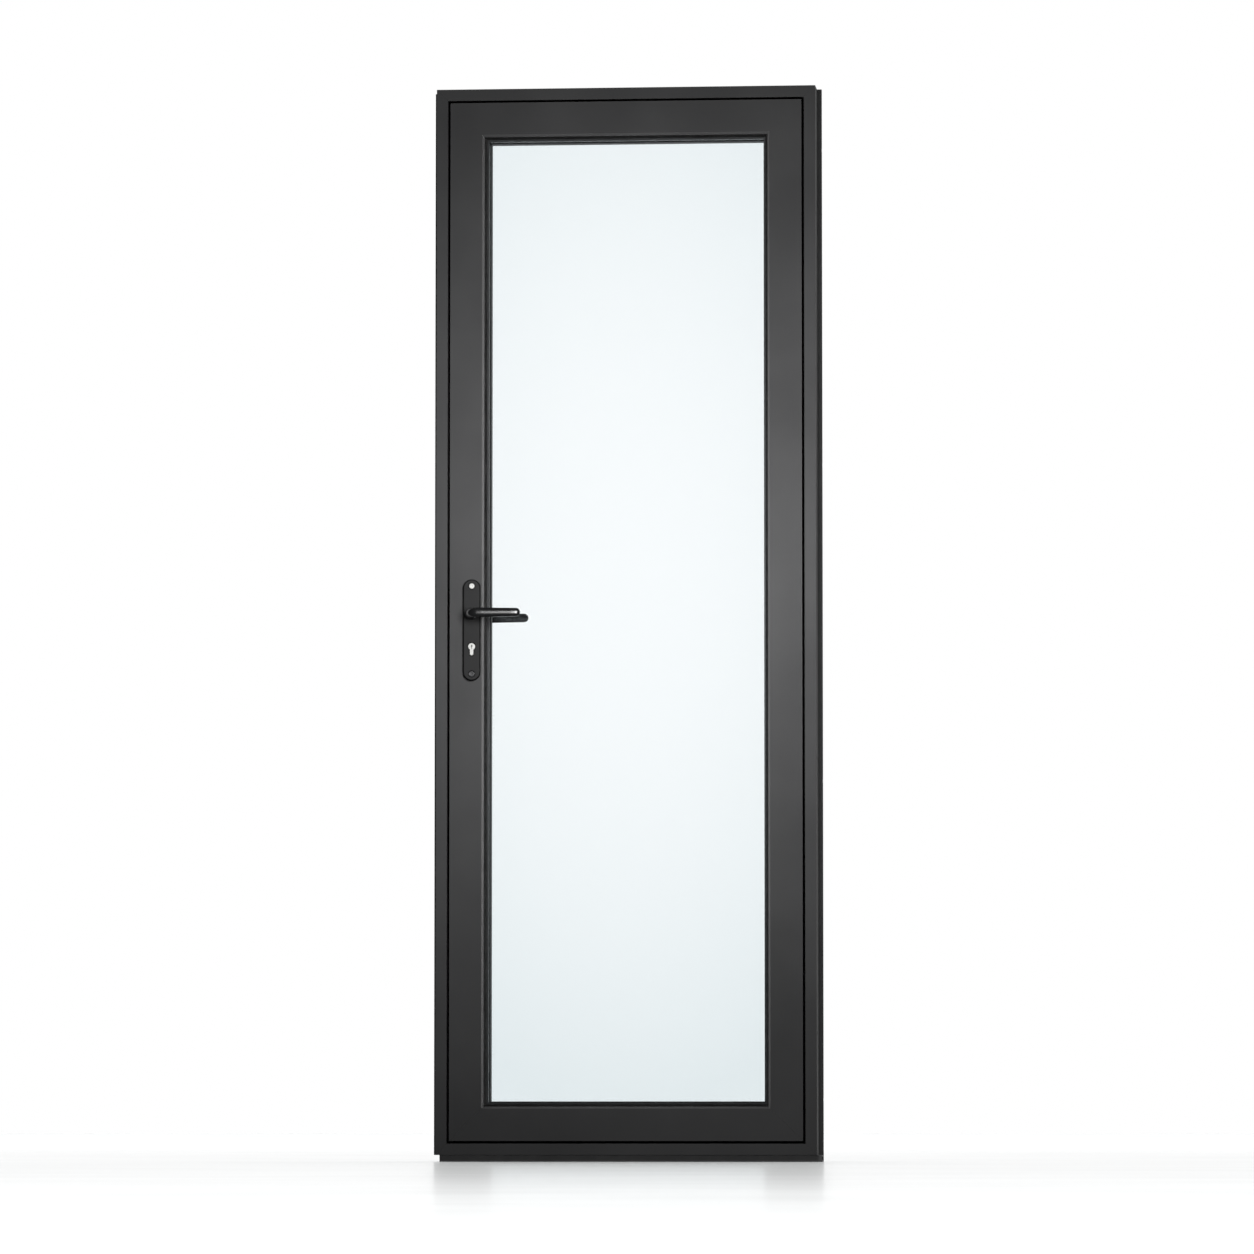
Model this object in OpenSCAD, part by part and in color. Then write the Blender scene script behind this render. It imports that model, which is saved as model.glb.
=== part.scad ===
// Single-leaf glazed aluminium door in its own frame, with lever set and lock.
// Millimetres. X to the right, Y to the rear, Z up. The leaf swings to the rear.
// Profiles are drawn as (u, f): u is the distance in from the frame's outer edge,
// f is the depth behind the front face.

/* [Overall size] */
// Width over the two side strips
overall_w = 762; // [640:1:958]
// Height from the floor to the top of the frame
overall_h = 2100; // [1750:10:2600]
// Depth of the frame and of the leaf
frame_d = 70; // [70:1:84]

/* [Frame] */
// Width of the frame's front face
frame_face = 22; // [20:1:30]
// Gap between frame and leaf, seen from the front
leaf_gap = 5; // [4:0.5:7]
// How far each side strip stands out from the frame
strip_out = 9; // [4:1:12]
// Height of the sill base under the frame
base_h = 13; // [8:1:30]
// Inset of the sill base at the lock side
base_inset = 7.5; // [0:0.5:12]

/* [Leaf] */
// Width of the flat front face of stiles and rails
leaf_face = 63; // [63:1:90]
// Bevel on the inner edge of that face
leaf_bevel = 3.8; // [2:0.2:5]

/* [Glass unit] */
// Thickness of each pane
pane_t = 4; // [3:0.5:6]
// Space between the panes
cavity_t = 16; // [12:1:18]

/* [Hinges] */
// Radius of the hinge knuckles
knuckle_r = 9; // [7.5:0.5:11]
// Radius of the hinge pin
pin_r = 4; // [3:0.5:5]
// Running clearance of the leaf knuckle on its pin
pin_clear = 0.05; // [0.02:0.01:0.1]
// Distance of the top and bottom hinge from the frame's ends
hinge_inset = 220; // [150:5:320]

/* [Lever set and lock] */
// Height of the lever's axis above the floor
lever_h = 1067; // [950:1:1150]
// From the leaf's edge to the lever's axis
backset = 44; // [40:0.5:44]
// Length of the lever from its axis to its tip
lever_len = 99; // [85:1:140]
// Half height of the grip where it leaves the neck
grip_r = 9.8; // [7.5:0.1:10.4]
// Half height of the grip at its tip
tip_r = 8.6; // [5:0.2:9.4]
// Distance from the leaf's face to the centre of the grip
lever_reach = 48; // [34:1:60]
// Width of the lever plates
plate_w = 34; // [32:1:40]
// Height of the lever plates
plate_h = 198; // [192:1:240]
// Thickness of the lever plates
plate_t = 8; // [6:0.5:10]
// Distance from the lever's axis down to the key cylinder
cyl_drop = 64; // [64:1:72]
// Distance the latch stands out of the leaf's edge
latch_out = 12; // [9:0.5:12]

/* [Hidden] */
$fn = 72;
face_w = overall_w - 2 * strip_out;
face_x = face_w / 2;
y0 = -frame_d / 2;            // front face of frame and leaf
z0 = base_h;                  // underside of the frame
rear_u = frame_face - 10;     // frame's inner edge behind the stop
stop_f = 42;                  // depth of the frame's stop
seal_f = 4;                   // thickness of the closing seal
leaf_u = frame_face + leaf_gap;
flange_u = rear_u + 4;        // outer edge of the leaf's rear flange
flange_f = stop_f + seal_f;
bev_u = leaf_u + leaf_face;   // start of the bevel
tip_u = bev_u + leaf_bevel;
wall_u = bev_u - 4;           // glazing side of the leaf's chamber
leg_f = 12;                   // depth of the glazing leg
glass_u = wall_u + 2;
glass_f = leg_f + 4;
unit_t = 2 * pane_t + cavity_t;
bead_f = glass_f + unit_t + 4;
bead_u = bev_u + 14;
lip_u = tip_u + 5;
spacer_w = 11;
big = 130;

lx = -face_x + leaf_u + backset;   // lever axis
lz = lever_h;
cz = lz - cyl_drop;                // key cylinder axis
pz = lz - 31.5;                    // middle of the plates
bolt_z = 86;                       // plate screws, up and down from pz
head_r = 5.2;                      // their heads, seated in round recesses
head_seat = 2.4;
head_out = 0.9;
lock_f = 24;                       // middle of the lock, front to rear
case_t = 15;
face_t = 2;                        // lock faceplate
strike_t = 1.5;
edge_x = -face_x + leaf_u;         // leaf's edge at the lock side
ly = y0 + lock_f;
dead_throw = 20;
neck_r = 9.5;
collar_r = 11.5;
spigot_r = 8;
cyl_r = 8.5;                       // key cylinder section
stem_w = 10.6;
stem_d = 19;
nose_step = 2;                 // how much the cylinder narrows where it shows
nose_gap = 1.8;                // room round it in the plates
plug_r = 4.8;
cam_reach = 8.9;

hx = face_x - rear_u - 2;          // hinge axis
hy = frame_d / 2 + 2 + knuckle_r;
hinge_zs = [z0 + hinge_inset, (z0 + overall_h) / 2, overall_h - hinge_inset];
hinge_plate_t = 4;
fix_step = (overall_h - 500) / 3;  // wall fixings
strip_zs = [120, 120 + (overall_h - 240) / 3, 120 + (overall_h - 240) * 2 / 3, overall_h - 120];

dark = [0.20, 0.20, 0.21];
black = [0.08, 0.08, 0.09];
bright = [0.80, 0.81, 0.82];
grey = [0.50, 0.51, 0.52];
pale = [0.85, 0.93, 0.95, 0.5];
rubber = [0.06, 0.06, 0.06];

// ---- shared shapes ----

// a box given by two corners
module block(a, b) { translate(a) cube(b - a); }

// a cylinder along X, Y or Z, from a start point
module rod_x(p, l, r) { translate(p) rotate([0, 90, 0]) cylinder(h = l, r = r); }
module rod_y(p, l, r) { translate(p) rotate([-90, 0, 0]) cylinder(h = l, r = r); }
module cone_y(p, l, r1, r2) { translate(p) rotate([-90, 0, 0]) cylinder(h = l, r1 = r1, r2 = r2); }
module cone_x(p, l, r1, r2) { translate(p) rotate([0, 90, 0]) cylinder(h = l, r1 = r1, r2 = r2); }

// a rectangle in (u, f)
module uf(u1, f1, u2, f2) { translate([u1, f1]) square([u2 - u1, f2 - f1]); }

// one mitred side of the rectangle; its children are the (u, f) profile
module lock_side() {
  intersection() {
    translate([-face_x, y0, z0]) linear_extrude(height = overall_h - z0) children();
    rotate([90, 0, 0]) linear_extrude(height = 400, center = true)
      polygon([[-face_x, z0], [-face_x + big, z0 + big],
        [-face_x + big, overall_h - big], [-face_x, overall_h]]);
  }
}
module hinge_side() { mirror([1, 0, 0]) lock_side() children(); }
module bottom_side() {
  intersection() {
    translate([0, y0, z0]) rotate([0, -90, 0])
      linear_extrude(height = face_w, center = true) children();
    rotate([90, 0, 0]) linear_extrude(height = 400, center = true)
      polygon([[-face_x, z0], [face_x, z0], [face_x - big, z0 + big], [-face_x + big, z0 + big]]);
  }
}
module top_side() {
  translate([0, 0, z0 + overall_h]) mirror([0, 0, 1]) bottom_side() children();
}
module four_sides() {
  lock_side() children();
  hinge_side() children();
  bottom_side() children();
  top_side() children();
}

// ---- frame ----

module frame_profile() {
  difference() {
    polygon([[0, 0], [frame_face, 0], [frame_face, stop_f], [rear_u, stop_f],
      [rear_u, frame_d], [0, frame_d]]);
    uf(2, 2, frame_face - 3, stop_f - 2);
    uf(2, stop_f, rear_u - 2, frame_d - 2);
  }
}
module frame_head() color(dark) top_side() frame_profile();
module frame_bottom_rail() color(dark) bottom_side() frame_profile();

// holes for the screws that fix a jamb to the wall, and for its strip's screws
module jamb_holes() {
  for (i = [0 : 3])
    rod_x([-face_x - 1, y0 + 20, 250 + i * fix_step], frame_face + 2, 3.75);
  for (z = strip_zs) rod_x([-face_x - 1, y0 + frame_d - 5, z], 4, 1.75);
}
module frame_lock_jamb() color(dark) difference() {
  lock_side() frame_profile();
  jamb_holes();
  // pocket for the strike plate, and the holes behind it
  block([-face_x + frame_face - strike_t, ly - 12, lz - 73],
    [-face_x + frame_face + 1, ly + 12, lz + 48]);
  block([-face_x + frame_face - 4, ly - 6, lz + 1], [-face_x + frame_face, ly + 6, lz + 27]);
  block([-face_x + frame_face - 4, ly - 6, lz - 52], [-face_x + frame_face, ly + 6, lz - 20]);
  for (z = [lz - 63, lz + 38]) rod_x([-face_x + frame_face - 4, ly, z], 5, 2);
}
module frame_hinge_jamb() color(dark) difference() {
  hinge_side() frame_profile();
  mirror([1, 0, 0]) jamb_holes();
  for (h = hinge_zs, s = [-53, 53]) rod_y([hx + 8, frame_d / 2 - 3, h + s], 4, 2);
}
// angle pieces that join the mitres, one in each corner
module cleat(u1, u2, f1, f2, arm) {
  rotate([90, 0, 0]) translate([0, 0, -y0 - f2]) linear_extrude(height = f2 - f1)
    difference() {
      translate([-face_x + u1, z0 + u1]) square([arm + u2 - u1, arm + u2 - u1]);
      translate([-face_x + u2, z0 + u2]) square([arm + 1, arm + 1]);
    }
}
module at_corners() {
  for (i = [0, 1], j = [0, 1])
    translate([0, 0, j * (z0 + overall_h)]) mirror([0, 0, j]) mirror([i, 0, 0]) children();
}
module frame_corner_cleats() color(grey)
  at_corners() cleat(2.1, frame_face - 3.1, 2.1, stop_f - 2.1, 60);
// closing seal on the rear face of the stop
module frame_seal() color(rubber) four_sides()
  polygon([[rear_u + 4.5, stop_f], [frame_face - 0.5, stop_f], [frame_face - 0.5, stop_f + 1.2],
    [frame_face - 2, stop_f + seal_f], [rear_u + 6, stop_f + seal_f], [rear_u + 4.5, stop_f + 1.2]]);
module sill_base() color(dark) difference() {
  block([-face_x + base_inset, y0 + 10, 0], [face_x + strip_out, frame_d / 2, base_h]);
  block([-face_x, y0 + 13, 3], [face_x + strip_out + 1, frame_d / 2 - 3, base_h - 3]);
}
// side strip on the outer edge of a jamb, at the rear
module side_strip() {
  difference() {
    block([-face_x - strip_out, frame_d / 2 - 10, z0], [-face_x, frame_d / 2, overall_h]);
    for (z = strip_zs) {
      rod_x([-face_x - strip_out - 1, y0 + frame_d - 5, z], strip_out + 2, 1.75);
      cone_x([-face_x - strip_out, y0 + frame_d - 5, z], 1.75, 3.5, 1.75);
    }
  }
}
module side_strip_lock() color(dark) side_strip();
module side_strip_hinge() color(dark) mirror([1, 0, 0]) side_strip();
module side_strip_screws() color(grey) for (i = [0, 1], z = strip_zs) mirror([i, 0, 0]) {
  rod_x([-face_x - strip_out, y0 + frame_d - 5, z], strip_out + 8, 1.75);
  cone_x([-face_x - strip_out, y0 + frame_d - 5, z], 1.75, 3.5, 1.75);
}
module strike_plate() color(grey) difference() {
  block([-face_x + frame_face - strike_t, ly - 12, lz - 73],
    [-face_x + frame_face, ly + 12, lz + 48]);
  block([-face_x + frame_face - 4, ly - 5.5, lz + 1.5], [-face_x + frame_face + 1, ly + 5.5, lz + 26.5]);
  block([-face_x + frame_face - 4, ly - 5.5, lz - 51.5],
    [-face_x + frame_face + 1, ly + 5.5, lz - 20.5]);
  for (z = [lz - 63, lz + 38]) {
    rod_x([-face_x + frame_face - 4, ly, z], 5, 2);
    cone_x([-face_x + frame_face - 1.4, ly, z], 1.4, 2, 3.4);
  }
}
module strike_screws() color(grey) for (z = [lz - 63, lz + 38]) {
  rod_x([-face_x + frame_face - 13, ly, z], 13, 2);
  cone_x([-face_x + frame_face - 1.4, ly, z], 1.4, 2, 3.4);
}

// ---- hinges ----

module knuckle(z1, z2) { translate([hx, hy, z1]) cylinder(h = z2 - z1, r = knuckle_r); }
// the block that joins a knuckle to its plate; s is 1 at the frame and -1 at the leaf
module web(z1, z2, s) {
  translate([hx, hy, z1]) linear_extrude(height = z2 - z1)
    polygon([[s * 2.5, -knuckle_r - 2], [s * (knuckle_r + 3), -knuckle_r - 2],
      [s * (knuckle_r + 3), 2 - knuckle_r], [s * knuckle_r, 0], [s * 2.5, 0]]);
}
module hinge_plate(x1, x2, h) {
  difference() {
    block([x1, frame_d / 2, h - 60], [x2, frame_d / 2 + hinge_plate_t, h + 60]);
    translate([hx, hy, h - 46]) cylinder(h = 92, r = knuckle_r + 0.4);
  }
}
module hinge_screw(x, z, l) {
  rod_y([x, frame_d / 2 + hinge_plate_t - l, z], l, 2);
  cone_y([x, frame_d / 2 + hinge_plate_t - 2, z], 2, 2, 4);
}
module hinge_frame_part(h) color(dark) difference() {
  union() {
    hinge_plate(hx + 2.5, face_x + strip_out - 1, h);
    for (z = [h - 42, h + 14.2]) { knuckle(z, z + 27.8); web(z, z + 27.8, 1); }
  }
  translate([hx, hy, h - 50]) cylinder(h = 100, r = pin_r);
  for (s = [-53, 53]) hinge_screw(hx + 8, h + s, 14);
}
module hinge_leaf_part(h) color(dark) difference() {
  union() {
    hinge_plate(hx - 36.5, hx - 2.5, h);
    knuckle(h - 14, h + 14);
    web(h - 14, h + 14, -1);
  }
  translate([hx, hy, h - 50]) cylinder(h = 100, r = pin_r + pin_clear);
  for (s = [-53, 53], x = [-12, -29]) hinge_screw(hx + x, h + s, 14);
}
module hinge_pin(h) color(grey) translate([hx, hy, h]) {
  translate([0, 0, -43]) cylinder(h = 86, r = pin_r);
  for (m = [0, 1]) mirror([0, 0, m]) {
    translate([0, 0, 42]) cylinder(h = 1.8, r = knuckle_r - 0.5);
    translate([0, 0, 43.8]) cylinder(h = 1.4, r1 = knuckle_r - 0.5, r2 = knuckle_r - 2);
  }
}
module hinge_low_frame_part() hinge_frame_part(hinge_zs[0]);
module hinge_mid_frame_part() hinge_frame_part(hinge_zs[1]);
module hinge_top_frame_part() hinge_frame_part(hinge_zs[2]);
module hinge_low_leaf_part() hinge_leaf_part(hinge_zs[0]);
module hinge_mid_leaf_part() hinge_leaf_part(hinge_zs[1]);
module hinge_top_leaf_part() hinge_leaf_part(hinge_zs[2]);
module hinge_low_pin() hinge_pin(hinge_zs[0]);
module hinge_mid_pin() hinge_pin(hinge_zs[1]);
module hinge_top_pin() hinge_pin(hinge_zs[2]);
module hinge_frame_screws() color(grey)
  for (h = hinge_zs, s = [-53, 53]) hinge_screw(hx + 8, h + s, 14);
module hinge_leaf_screws() color(grey)
  for (h = hinge_zs, s = [-53, 53], x = [-12, -29]) hinge_screw(hx + x, h + s, 14);

// ---- leaf ----

module leaf_profile() {
  difference() {
    polygon([[leaf_u, 0], [bev_u, 0], [tip_u, leaf_bevel], [tip_u, leg_f], [wall_u, leg_f],
      [wall_u, frame_d], [flange_u, frame_d], [flange_u, flange_f], [leaf_u, flange_f]]);
    uf(leaf_u + 3.5, 2, wall_u - 2, flange_f);
    uf(flange_u + 2, flange_f + 2, wall_u - 2, frame_d - 2);
    uf(wall_u, 2.5, bev_u + 0.5, leg_f - 2);
  }
}
module leaf_top_rail() color(dark) top_side() leaf_profile();
module leaf_bottom_rail() color(dark) bottom_side() leaf_profile();
module leaf_hinge_stile() color(dark) difference() {
  hinge_side() leaf_profile();
  for (h = hinge_zs, s = [-53, 53], x = [-12, -29])
    rod_y([hx + x, frame_d / 2 - 3, h + s], 4, 2);
}
module leaf_lock_stile() color(dark) difference() {
  lock_side() leaf_profile();
  // cut-outs for the spindle, the key cylinder and the plate screws
  rod_y([lx, y0 - 1, lz], frame_d + 2, 9);
  cylinder_shape(y0 - 1, frame_d / 2 + 1, 0.5);
  for (s = [-1, 1]) rod_y([lx, y0 - 1, pz + s * bolt_z], frame_d + 2, 2.6);
  // pocket for the faceplate, window for the lock case, faceplate screws
  block([edge_x - 1, ly - 12, pz - 117.5], [edge_x + face_t, ly + 12, pz + 117.5]);
  block([edge_x, ly - case_t / 2 - 0.2, lz - 107.2], [edge_x + 4, ly + case_t / 2 + 0.2, lz + 45.2]);
  for (s = [-1, 1]) rod_x([edge_x, ly, pz + s * 108], 5, 2);
}
module leaf_corner_cleats() color(grey) at_corners() difference() {
  cleat(leaf_u + 3.6, wall_u - 2.1, 2.1, flange_f - 0.1, 70);
  translate([-face_x, y0, z0]) {
    block([wall_u + 4, 0, leaf_u + 9.6], [wall_u + 62, flange_f, wall_u - 8.1]);
    block([leaf_u + 9.6, 0, wall_u + 4], [wall_u - 8.1, flange_f, wall_u + 62]);
  }
}

// ---- glazing ----

module pane(f) color(pale)
  block([-face_x + glass_u, y0 + f, z0 + glass_u],
    [face_x - glass_u, y0 + f + pane_t, overall_h - glass_u]);
module outer_pane() pane(glass_f);
module inner_pane() pane(glass_f + pane_t + cavity_t);
// a closed rectangular ring between two distances in from the edge
module ring(u1, u2, f1, f2) {
  difference() {
    block([-face_x + u1, y0 + f1, z0 + u1], [face_x - u1, y0 + f2, overall_h - u1]);
    block([-face_x + u2, y0 + f1 - 1, z0 + u2], [face_x - u2, y0 + f2 + 1, overall_h - u2]);
  }
}
module spacer_bar() color(grey) difference() {
  ring(glass_u + 3, glass_u + 3 + spacer_w, glass_f + pane_t, glass_f + pane_t + cavity_t);
  ring(glass_u + 4, glass_u + 2 + spacer_w, glass_f + pane_t + 1, glass_f + pane_t + cavity_t - 1);
}
module edge_seal() color(rubber)
  ring(glass_u, glass_u + 3, glass_f + pane_t, glass_f + pane_t + cavity_t);
// blocks between the glass unit and the leaf
module setting_blocks() color(black) {
  for (x = [-face_x + glass_u + 80, face_x - glass_u - 180]) {
    block([x, y0 + glass_f, z0 + wall_u], [x + 100, y0 + glass_f + unit_t, z0 + glass_u]);
    block([x, y0 + glass_f, overall_h - glass_u],
      [x + 100, y0 + glass_f + unit_t, overall_h - wall_u]);
  }
  for (z = [z0 + glass_u + 150, overall_h - glass_u - 250], i = [0, 1]) mirror([i, 0, 0])
    block([-face_x + wall_u, y0 + glass_f, z], [-face_x + glass_u, y0 + glass_f + unit_t, z + 100]);
}
module outer_gasket() color(rubber) four_sides()
  polygon([[glass_u, leg_f], [tip_u, leg_f], [lip_u, glass_f - 1], [lip_u, glass_f],
    [glass_u, glass_f]]);
module inner_gasket() color(rubber) four_sides()
  polygon([[glass_u + 1, bead_f - 4], [bead_u - 0.5, bead_f - 4], [bead_u - 0.5, bead_f - 3],
    [bead_u - 2, bead_f], [glass_u + 1, bead_f]]);
module bead_profile() {
  difference() {
    polygon([[wall_u, bead_f], [bead_u, bead_f], [bead_u, frame_d - 3], [bead_u - 3, frame_d],
      [wall_u, frame_d]]);
    uf(wall_u + 1.5, bead_f + 1.5, bead_u - 3.2, frame_d - 1.5);
  }
}
module bead_top() color(dark) top_side() bead_profile();
module bead_bottom() color(dark) bottom_side() bead_profile();
module bead_lock_side() color(dark) lock_side() bead_profile();
module bead_hinge_side() color(dark) hinge_side() bead_profile();

// ---- lock ----

// the key cylinder's section, grown by c, from y1 to y2
module cylinder_shape(y1, y2, c) {
  translate([lx, y2, cz]) rotate([90, 0, 0]) linear_extrude(height = y2 - y1) union() {
    circle(r = cyl_r + c);
    translate([-stem_w / 2 - c, -stem_d + stem_w / 2]) square([stem_w + 2 * c, stem_d - stem_w / 2]);
    translate([0, -stem_d + stem_w / 2]) circle(r = stem_w / 2 + c);
  }
}
module lock_case() color(grey) difference() {
  block([edge_x + face_t, ly - case_t / 2, lz - 107], [lx + 11, ly + case_t / 2, lz + 45]);
  block([edge_x, ly - case_t / 2 + 1.5, lz - 105.5], [lx + 9.5, ly + case_t / 2 - 1.5, lz + 43.5]);
  rod_y([lx, ly - 10, lz], 20, 8);
  cylinder_shape(ly - 10, ly + 10, 0.2);
}
module lock_faceplate() color(grey) difference() {
  block([edge_x, ly - 12, pz - 117.5], [edge_x + face_t, ly + 12, pz + 117.5]);
  block([edge_x - 1, ly - 5.2, lz + 1.8], [edge_x + 3, ly + 5.2, lz + 26.2]);
  block([edge_x - 1, ly - 5.2, lz - 51.2], [edge_x + 3, ly + 5.2, lz - 20.8]);
  rod_x([edge_x - 1, ly, cz - 15.9], 4, 2);
  cone_x([edge_x, ly, cz - 15.9], 1.5, 3.5, 2);
  for (s = [-1, 1]) {
    rod_x([edge_x - 1, ly, pz + s * 108], 4, 2);
    cone_x([edge_x, ly, pz + s * 108], 1.9, 3.9, 2);
  }
}
module faceplate_screws() color(grey) for (s = [-1, 1]) {
  rod_x([edge_x, ly, pz + s * 108], 16, 2);
  cone_x([edge_x, ly, pz + s * 108], 1.9, 3.9, 2);
}
// fixes the key cylinder through the faceplate
module cylinder_screw() color(grey) {
  rod_x([edge_x, ly, cz - 15.9], backset, 2);
  cone_x([edge_x, ly, cz - 15.9], 1.5, 3.5, 2);
}
module cylinder_body() color(bright) difference() {
  union() {
    cylinder_shape(y0, frame_d / 2, 0);
    cylinder_shape(y0 - plate_t - 1, frame_d / 2 + plate_t + 1, -nose_step);
  }
  rod_y([lx, y0 - 30, cz], frame_d + 60, plug_r + 0.05);
  block([lx - 10, ly - 5, cz - 12.8], [lx + 10, ly + 5, cz + 10]);
  rod_x([lx - 10, ly, cz - 15.9], 20, 2);
}
module keyway(y, s) {
  rod_y([lx, s > 0 ? y : y - 12, cz + 1.2], 12, 1.9);
  block([lx - 0.8, s > 0 ? y : y - 12, cz - 4], [lx + 0.8, s > 0 ? y + 12 : y, cz + 1.2]);
}
module key_plug_front() color(bright) difference() {
  rod_y([lx, y0 - plate_t - 1, cz], lock_f + plate_t - 4, plug_r);
  keyway(y0 - plate_t - 2, 1);
}
module key_plug_rear() color(bright) difference() {
  rod_y([lx, ly + 5, cz], frame_d - lock_f + plate_t - 4, plug_r);
  keyway(frame_d / 2 + plate_t + 2, -1);
}
module cylinder_cam() color(grey) {
  rod_y([lx, ly - 5, cz], 10, plug_r);
  block([lx - 2.5, ly - 4.5, cz], [lx + 2.5, ly + 4.5, cz + cam_reach]);
}
// latch: bevelled to the front, so that closing the leaf pushes it in
module latch_bolt() color(grey) {
  translate([edge_x, ly, lz + 2]) linear_extrude(height = 24)
    polygon([[0, -5], [18, -5], [18, 5], [-latch_out, 5], [-latch_out, 2.5]]);
  block([edge_x + 17, ly - 4, lz + 17.6], [lx - 4.67, ly + 4, lz + 21]);
  block([lx - 7.67, ly - 4, lz + 11], [lx - 4.67, ly + 4, lz + 21]);
}
// dead bolt, drawn back at rest
module dead_bolt() color(grey)
  block([edge_x + 0.2, ly - 5, lz - 51], [edge_x + 33, ly + 5, lz - 21]);
// hub that the spindle turns, with the arm that draws the latch
module lock_hub() color(grey) difference() {
  union() {
    rod_y([lx, ly - 5.8, lz], 11.6, 9);
    rod_y([lx, ly - case_t / 2, lz], case_t, 7.95);
    translate([lx, ly, lz]) rotate([0, -45, 0]) block([-2, -3.5, 0], [2, 3.5, 17]);
  }
  block([lx - 4.05, ly - 20, lz - 4.05], [lx + 4.05, ly + 20, lz + 4.05]);
}

// ---- lever set ----

spindle_y = frame_d / 2 + plate_t + 19;
// a plate with round ends and a bevelled edge, in front of the leaf
module plate_solid() {
  hz = (plate_h - plate_w) / 2;
  w = plate_w / 2;
  translate([lx, y0, pz - hz]) linear_extrude(height = 2 * hz)
    polygon([[-w, 0], [-w, 2.2 - plate_t], [2.2 - w, -plate_t], [w - 2.2, -plate_t],
      [w, 2.2 - plate_t], [w, 0]]);
  for (s = [-1, 1]) {
    rod_y([lx, y0 - plate_t + 2.2, pz + s * hz], plate_t - 2.2, w);
    cone_y([lx, y0 - plate_t, pz + s * hz], 2.2, w - 2.2, w);
  }
}
module plate_holes() {
  rod_y([lx, y0 - plate_t - 1, lz], plate_t + 2, spigot_r + 0.05);
  cylinder_shape(y0 - plate_t - 1, y0 + 1, nose_gap - nose_step);
}
module plate_screw_shank(s)
  rod_y([lx, y0 - plate_t + head_seat, pz + s * bolt_z], frame_d + 2 * plate_t - head_seat - 2, 2.5);
module front_plate() color(black) difference() {
  plate_solid();
  plate_holes();
  for (s = [-1, 1]) {
    rod_y([lx, y0 - plate_t - 1, pz + s * bolt_z], head_seat + 1, head_r + 1.6);
    rod_y([lx, y0 - plate_t, pz + s * bolt_z], plate_t + 1, 2.6);
  }
}
module rear_plate() color(black) difference() {
  mirror([0, 1, 0]) plate_solid();
  mirror([0, 1, 0]) plate_holes();
  for (s = [-1, 1]) plate_screw_shank(s);
}
// a through-screw with a low round head and a hexagon socket
module plate_screw(s) difference() {
  union() {
    plate_screw_shank(s);
    rod_y([lx, y0 - plate_t, pz + s * bolt_z], head_seat, head_r);
    cone_y([lx, y0 - plate_t - head_out, pz + s * bolt_z], head_out, head_r - 1.2, head_r);
  }
  translate([lx, y0 - plate_t + 1.2, pz + s * bolt_z]) rotate([90, 0, 0])
    linear_extrude(height = 4) polygon([for (i = [0 : 5]) [2.3 * cos(60 * i), 2.3 * sin(60 * i)]]);
}
module plate_screw_top() color(bright) plate_screw(1);
module plate_screw_bottom() color(grey) plate_screw(-1);

module lever_shape() {
  gy = y0 - lever_reach;
  difference() {
    union() {
      rod_y([lx, y0 - plate_t - 1, lz], plate_t - 1, spigot_r);
      rod_y([lx, y0 - plate_t - 9, lz], 8.9, collar_r);
      cone_y([lx, y0 - plate_t - 11, lz], 2, neck_r, collar_r);
      rod_y([lx, gy - 5, lz], lever_reach - plate_t - 5, neck_r);
      cone_y([lx, gy - 6.5, lz], 1.5, neck_r - 1.5, neck_r);
      intersection() {
        union() {
          cone_x([lx, gy, lz], lever_len - tip_r, grip_r, tip_r);
          translate([lx + lever_len - tip_r, gy, lz]) sphere(r = tip_r);
        }
        block([lx, gy - 6.5, lz - 20], [lx + lever_len + 1, gy + 6.5, lz + 20]);
      }
    }
    // square hole for the spindle, and the grub screw's hole
    block([lx - 4.05, -spindle_y - 0.2, lz - 4.05], [lx + 4.05, y0 + 1, lz + 4.05]);
    translate([lx, y0 - plate_t - 5, lz - 12]) cylinder(h = 10, r = 2.5);
  }
}
module front_lever() color(black) lever_shape();
module rear_lever() color(black) mirror([0, 1, 0]) lever_shape();
module lever_spindle() color(grey)
  block([lx - 4, -spindle_y, lz - 4], [lx + 4, spindle_y, lz + 4]);
module lever_grub_screws() color(grey) for (m = [0, 1]) mirror([0, m, 0])
  translate([lx, y0 - plate_t - 5, lz - 11]) cylinder(h = 7, r = 2.5);

// ---- drawing ----

frame_head();
frame_bottom_rail();
frame_lock_jamb();
frame_hinge_jamb();
frame_corner_cleats();
frame_seal();
sill_base();
side_strip_lock();
side_strip_hinge();
side_strip_screws();
strike_plate();
strike_screws();
hinge_top_frame_part();
hinge_mid_frame_part();
hinge_low_frame_part();
hinge_top_pin();
hinge_mid_pin();
hinge_low_pin();
hinge_frame_screws();
leaf_top_rail();
leaf_bottom_rail();
leaf_lock_stile();
leaf_hinge_stile();
leaf_corner_cleats();
outer_pane();
inner_pane();
spacer_bar();
edge_seal();
setting_blocks();
outer_gasket();
inner_gasket();
bead_top();
bead_bottom();
bead_lock_side();
bead_hinge_side();
lock_case();
lock_faceplate();
faceplate_screws();
cylinder_body();
cylinder_screw();
front_plate();
rear_plate();
plate_screw_top();
plate_screw_bottom();
hinge_top_leaf_part();
hinge_mid_leaf_part();
hinge_low_leaf_part();
hinge_leaf_screws();
front_lever();
rear_lever();
lever_spindle();
lock_hub();
lever_grub_screws();
latch_bolt();
dead_bolt();
key_plug_front();
key_plug_rear();
cylinder_cam();
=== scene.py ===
"""Looks of a single-leaf glazed door: powder-coated sections, glass unit, lever set, hinges."""

import math

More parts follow.
